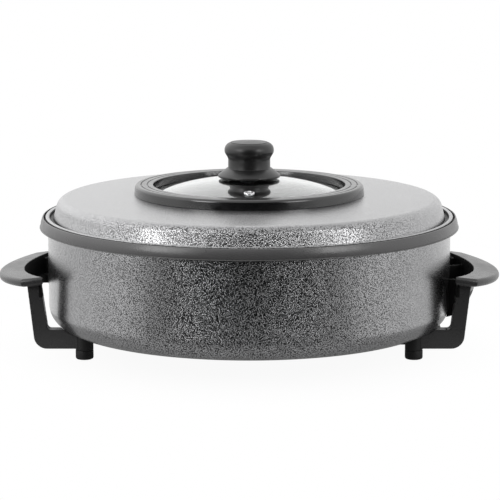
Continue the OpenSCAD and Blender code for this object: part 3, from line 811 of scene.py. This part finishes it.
class KnobOperator(bpy.types.Operator):
    """Makes the knob with its bush and its soft pads"""

    bl_idname = "pizza_pan.make_knob"
    bl_label = "Knob"

    def execute(self, context):
        size, looks = context.scene.knob_sizes, context.scene.pan_finishes
        black = moulded("Knob plastic", looks.knob, roughness=0.36, relief=0.04, index=1.65)
        stand_for(lathe("knob", self.outline(size), around=160), "knob", black, "knob_black")
        dress("knob_insert", brass())
        dress("knob_seal", silicone())
        return {"FINISHED"}

    def outline(self, size):
        """Finger guard, flare, neck and cap, with the recess below."""
        foot, tall, guard, neck, cap = size.foot, size.height, size.guard, size.neck, size.cap
        edge, fillet, brow, dome = 1.6 * MM, 0.5 * MM, 7.5 * MM, 0.9 * MM
        shelf, recess_top, bush_top = neck + 1.5 * MM, foot + MM, foot + 19 * MM
        brow_top = foot + tall - 1.05 * MM
        flare_top, neck_top, cap_mid = foot + 0.255 * tall, foot + 0.495 * tall, foot + 0.736 * tall

        def waist(part):
            swell = (1 - math.cos(math.pi * part)) / 2
            return neck + (cap - neck) * swell, neck_top + (cap_mid - neck_top) * part

        def crown(part):
            return 0.75 * cap * part, foot + tall - dome * part**2

        return (
            arc(guard - edge, foot + edge, edge, -90, 52, 10)
            + [(shelf, flare_top - 0.1 * MM), (shelf - 0.3 * MM, flare_top)]
            + arc(neck + fillet, flare_top + fillet, fillet, 270, 180, 4)
            + [waist(i / 16) for i in range(17)]
            + arc(cap - brow, brow_top - brow, brow, 4, 80, 14)
            + [crown(1 - i / 8) for i in range(9)]
            + [(0, bush_top), (size.bush, bush_top), (size.bush, recess_top)]
            + [(size.recess, recess_top), (size.recess, foot)]
        )


class FastenersOperator(bpy.types.Operator):
    """Makes the screws with crossed recesses and gives the studs and nuts their plating"""

    bl_idname = "pizza_pan.make_fasteners"
    bl_label = "Fasteners"

    def execute(self, context):
        plated = metal("Plated steel", context.scene.pan_finishes.steel, roughness=0.28)
        self.make_screws("clamp_screws", plated, count=6, head=2.9 * MM, depth=1.8 * MM, shank=1.5 * MM)
        self.make_screws("knob_screw", plated, count=1, head=5 * MM, depth=3 * MM, shank=2.5 * MM)
        for node in ("leg_nuts", "inlet_nuts"):
            stand_for(softened(node, voxel=0.2 * MM), node, plated, "fastener_steel")
        for node in ("leg_studs", "inlet_studs", "knob_washer"):
            dress(node, plated)
        return {"FINISHED"}

    def make_screws(self, node, material, count, head, depth, shank):
        """Screws with a domed head below, standing where the solid's screws stand."""
        low, high = (Vector(corner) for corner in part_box(node))
        tall, dome, tip = high.z - low.z, 0.45 * depth, 0.4 * MM
        bends = [math.pi / 2 * i / 8 for i in range(1, 9)]
        outline = (
            [(0, 0)]
            + [(head * math.sin(a), dome * (1 - math.cos(a))) for a in bends]
            + [(head, depth), (shank, depth), (shank, tall - tip), (shank - tip, tall), (0, tall)]
        )
        body = lathe("screw", outline, around=48)
        cutter = bmesh.new()
        blade = Matrix.Diagonal((1.1 * head, 0.26 * head, 1.1 * depth, 1))
        for spin in (0, math.pi / 2):
            bmesh.ops.create_cube(cutter, size=1, matrix=Matrix.Rotation(spin, 4, "Z") @ blade)
        cross = piece_from(cutter, "cross")
        cut = body.modifiers.new("Recess", "BOOLEAN")
        cut.object, cut.solver, cut.use_self = cross, "EXACT", True
        ready = bpy.data.meshes.new_from_object(body.evaluated_get(bpy.context.evaluated_depsgraph_get()))
        reach = high.y - head if count > 1 else 0
        bm = bmesh.new()
        for i in range(count):
            turn = Matrix.Rotation(math.radians((i + 0.5) * 360 / count), 4, "Z")
            copy = ready.copy()
            copy.transform(turn @ Matrix.Translation((reach, 0, low.z)))
            bm.from_mesh(copy)
            bpy.data.meshes.remove(copy)
        for scrap in (body, cross):
            bpy.data.objects.remove(scrap)
        stand_for(piece_from(bm, node.replace("_", "-")), node, material, "fastener_steel")


class HeaterOperator(bpy.types.Operator):
    """Makes the heater, its straps and the power inlet"""

    bl_idname = "pizza_pan.make_heater"
    bl_label = "Heater and inlet"

    def execute(self, context):
        looks = context.scene.pan_finishes
        dress("heating_element", metal("Heater sheath", looks.sheath, roughness=0.42))
        aluminium = metal("Strap aluminium", looks.aluminium, roughness=0.35)
        straps = softened("heater_straps", voxel=0.35 * MM)
        stand_for(straps, "heater_straps", aluminium, "strap_aluminium")
        plastic = moulded("Inlet plastic", looks.handle, roughness=0.45, grain=1500.0, relief=0.15)
        housing = softened("inlet_housing", voxel=0.5 * MM)
        stand_for(housing, "inlet_housing", plastic, "inlet_black")
        contact = metal("Plated contact", looks.steel, roughness=0.2)
        dress("terminal_pins", contact)
        dress("earth_springs", contact)
        dress("probe_sleeve", brass())
        return {"FINISHED"}


class StudioOperator(bpy.types.Operator):
    """Makes the floor, the light and the camera"""

    bl_idname = "pizza_pan.make_studio"
    bl_label = "Studio"

    def execute(self, context):
        scene, studio = context.scene, context.scene.studio_settings
        scene.view_settings.view_transform = "Standard"
        self.make_camera(scene, studio)
        self.make_floor(studio)
        self.make_room(scene, studio)
        self.make_softboxes(scene, studio)
        return {"FINISHED"}

    def make_camera(self, scene, studio):
        """The camera at the photograph's angle."""
        data = bpy.data.cameras.new("Camera")
        data.lens = studio.focal_length
        data.sensor_width = SENSOR_WIDTH
        camera = bpy.data.objects.new("Camera", data)
        camera.location = (studio.camera_side, -studio.camera_distance, studio.camera_height)
        camera.rotation_euler = (math.pi / 2 - studio.camera_pitch, 0, 0)
        scene.collection.objects.link(camera)
        scene.camera = camera

    def make_floor(self, studio):
        """A pale floor that keeps a faint shadow and fades into the white room."""
        bm = bmesh.new()
        bmesh.ops.create_circle(bm, cap_ends=True, segments=96, radius=studio.floor_radius)
        floor = piece_from(bm, "floor")
        material, nodes, shader = new_finish("Floor")
        shader.inputs["Base Color"].default_value = rgba([studio.floor_tone] * 3)
        shader.inputs["Roughness"].default_value = 0.8
        path = nodes.add("ShaderNodeLightPath").outputs
        shown = nodes.combine("MAXIMUM", path["Is Camera Ray"], path["Is Transmission Ray"])
        mirrored = nodes.combine("MULTIPLY", path["Is Glossy Ray"], studio.mirrored_floor)
        seen = nodes.combine("MAXIMUM", shown, mirrored)
        place = nodes.add("ShaderNodeTexCoord").outputs["Object"]
        distance = nodes.add("ShaderNodeVectorMath", {"operation": "LENGTH"}, Vector=place).outputs["Value"]
        pale = nodes.spread(distance, 0.4 * studio.floor_radius, studio.floor_radius, 0.94, 1.0)
        white = nodes.add("ShaderNodeEmission", Color=(1, 1, 1, 1), Strength=1.0)
        both = nodes.add("ShaderNodeMixShader", Fac=nodes.combine("MULTIPLY", seen, pale))
        nodes.feed_all(both, {1: shader.outputs["BSDF"], 2: white.outputs["Emission"]})
        nodes.feed(nodes.first("OUTPUT_MATERIAL").inputs["Surface"], both.outputs[0])
        floor.data.materials.append(material)

    def make_room(self, scene, studio):
        """A white room that is dark on the viewer's side and brighter to the upper left."""
        world = bpy.data.worlds.new("Room")
        world.use_nodes = True
        scene.world = world
        nodes = Nodes(world.node_tree)
        direction = nodes.add("ShaderNodeTexCoord").outputs["Generated"]
        level = nodes.flattened(direction, 0.0)
        ahead = nodes.add("ShaderNodeSeparateXYZ", Vector=level).outputs["Y"]
        axes = nodes.add("ShaderNodeSeparateXYZ", Vector=direction).outputs
        across, height = axes["X"], axes["Z"]
        sides = nodes.spread(ahead, -math.cos(studio.dark_inner), -math.cos(studio.dark_outer))
        overhead = nodes.spread(height, 0.25, 0.95)
        vertical = nodes.spread(height, -0.25, 0.15, studio.dusk, studio.room_light)
        zenith = nodes.spread(height, 0.8, 1.0, 1.0, 0.72)
        raised = nodes.spread(height, -0.05, 0.35, 0.0, studio.left_light)
        left = nodes.combine("MULTIPLY", raised, nodes.spread(across, -0.6, 0.3, 1.0, 0.0))
        glow = nodes.combine("MAXIMUM", sides, overhead)
        for part in (vertical, zenith, nodes.combine("ADD", left, 1.0)):
            glow = nodes.combine("MULTIPLY", glow, part)
        path = nodes.add("ShaderNodeLightPath").outputs
        seen = nodes.combine("MAXIMUM", path["Is Camera Ray"], path["Is Transmission Ray"])
        strength = nodes.add("ShaderNodeMix", {"data_type": "FLOAT"})
        nodes.feed_all(strength, {0: seen, 2: glow, 3: 1.0})
        light = nodes.add("ShaderNodeBackground", Color=(1, 1, 1, 1), Strength=strength.outputs[0])
        output = nodes.add("ShaderNodeOutputWorld")
        nodes.feed(output.inputs["Surface"], light.outputs[0])

    def make_softboxes(self, scene, studio):
        """Two soft panels in front, to the left and to the right, that face the pan."""
        target = Vector((0, 0, studio.panel_aim))
        panels = (
            ("left-softbox", studio.left_bearing, 1.0),
            ("right-softbox", studio.right_bearing, studio.right_part),
        )
        for name, bearing, part in panels:
            data = bpy.data.lights.new(name, "AREA")
            data.shape, data.size, data.size_y = "RECTANGLE", studio.panel_width, studio.panel_side
            data.energy = studio.panel_power * part
            lamp = bpy.data.objects.new(name, data)
            outward = Vector((math.sin(bearing), -math.cos(bearing), 0))
            lamp.location = studio.panel_distance * outward + Vector((0, 0, studio.panel_height))
            lamp.rotation_euler = (target - lamp.location).to_track_quat("-Z", "Y").to_euler()
            scene.collection.objects.link(lamp)


class PIZZA_PAN_PT_pieces(bpy.types.Panel):
    """Lists the pieces and the studio"""

    bl_label = "Pizza Pan"
    bl_space_type = "VIEW_3D"
    bl_region_type = "UI"
    bl_category = "Pizza Pan"

    def draw(self, context):
        for operator in OPERATORS:
            self.layout.operator(operator.bl_idname)
        for group in SETTINGS:
            box = self.layout.box()
            settings = getattr(context.scene, group)
            for name in settings.__annotations__:
                box.prop(settings, name)


SETTINGS = {
    "pan_sizes": PanSizes, "handle_sizes": HandleSizes, "lid_sizes": LidSizes, "knob_sizes": KnobSizes,
    "pan_finishes": PanFinishes, "studio_settings": StudioSettings,
}
OPERATORS = (
    StudioOperator, PanOperator, HandlesOperator, FeetOperator, LidOperator, WindowOperator, KnobOperator,
    FastenersOperator, HeaterOperator,
)
CLASSES = (*SETTINGS.values(), *OPERATORS, PIZZA_PAN_PT_pieces)


def register():
    """Adds the settings, the operators and the panel to Blender."""
    for kind in CLASSES:
        bpy.utils.register_class(kind)
    for name, group in SETTINGS.items():
        setattr(bpy.types.Scene, name, PointerProperty(type=group))


def unregister():
    """Takes the settings, the panel and the operators out of Blender."""
    for name in SETTINGS:
        delattr(bpy.types.Scene, name)
    for kind in reversed(CLASSES):
        bpy.utils.unregister_class(kind)


def main():
    """Makes the studio and all pieces."""
    register()
    for operator in OPERATORS:
        family, name = operator.bl_idname.split(".")
        getattr(getattr(bpy.ops, family), name)()


if __name__ == "__main__":
    main()
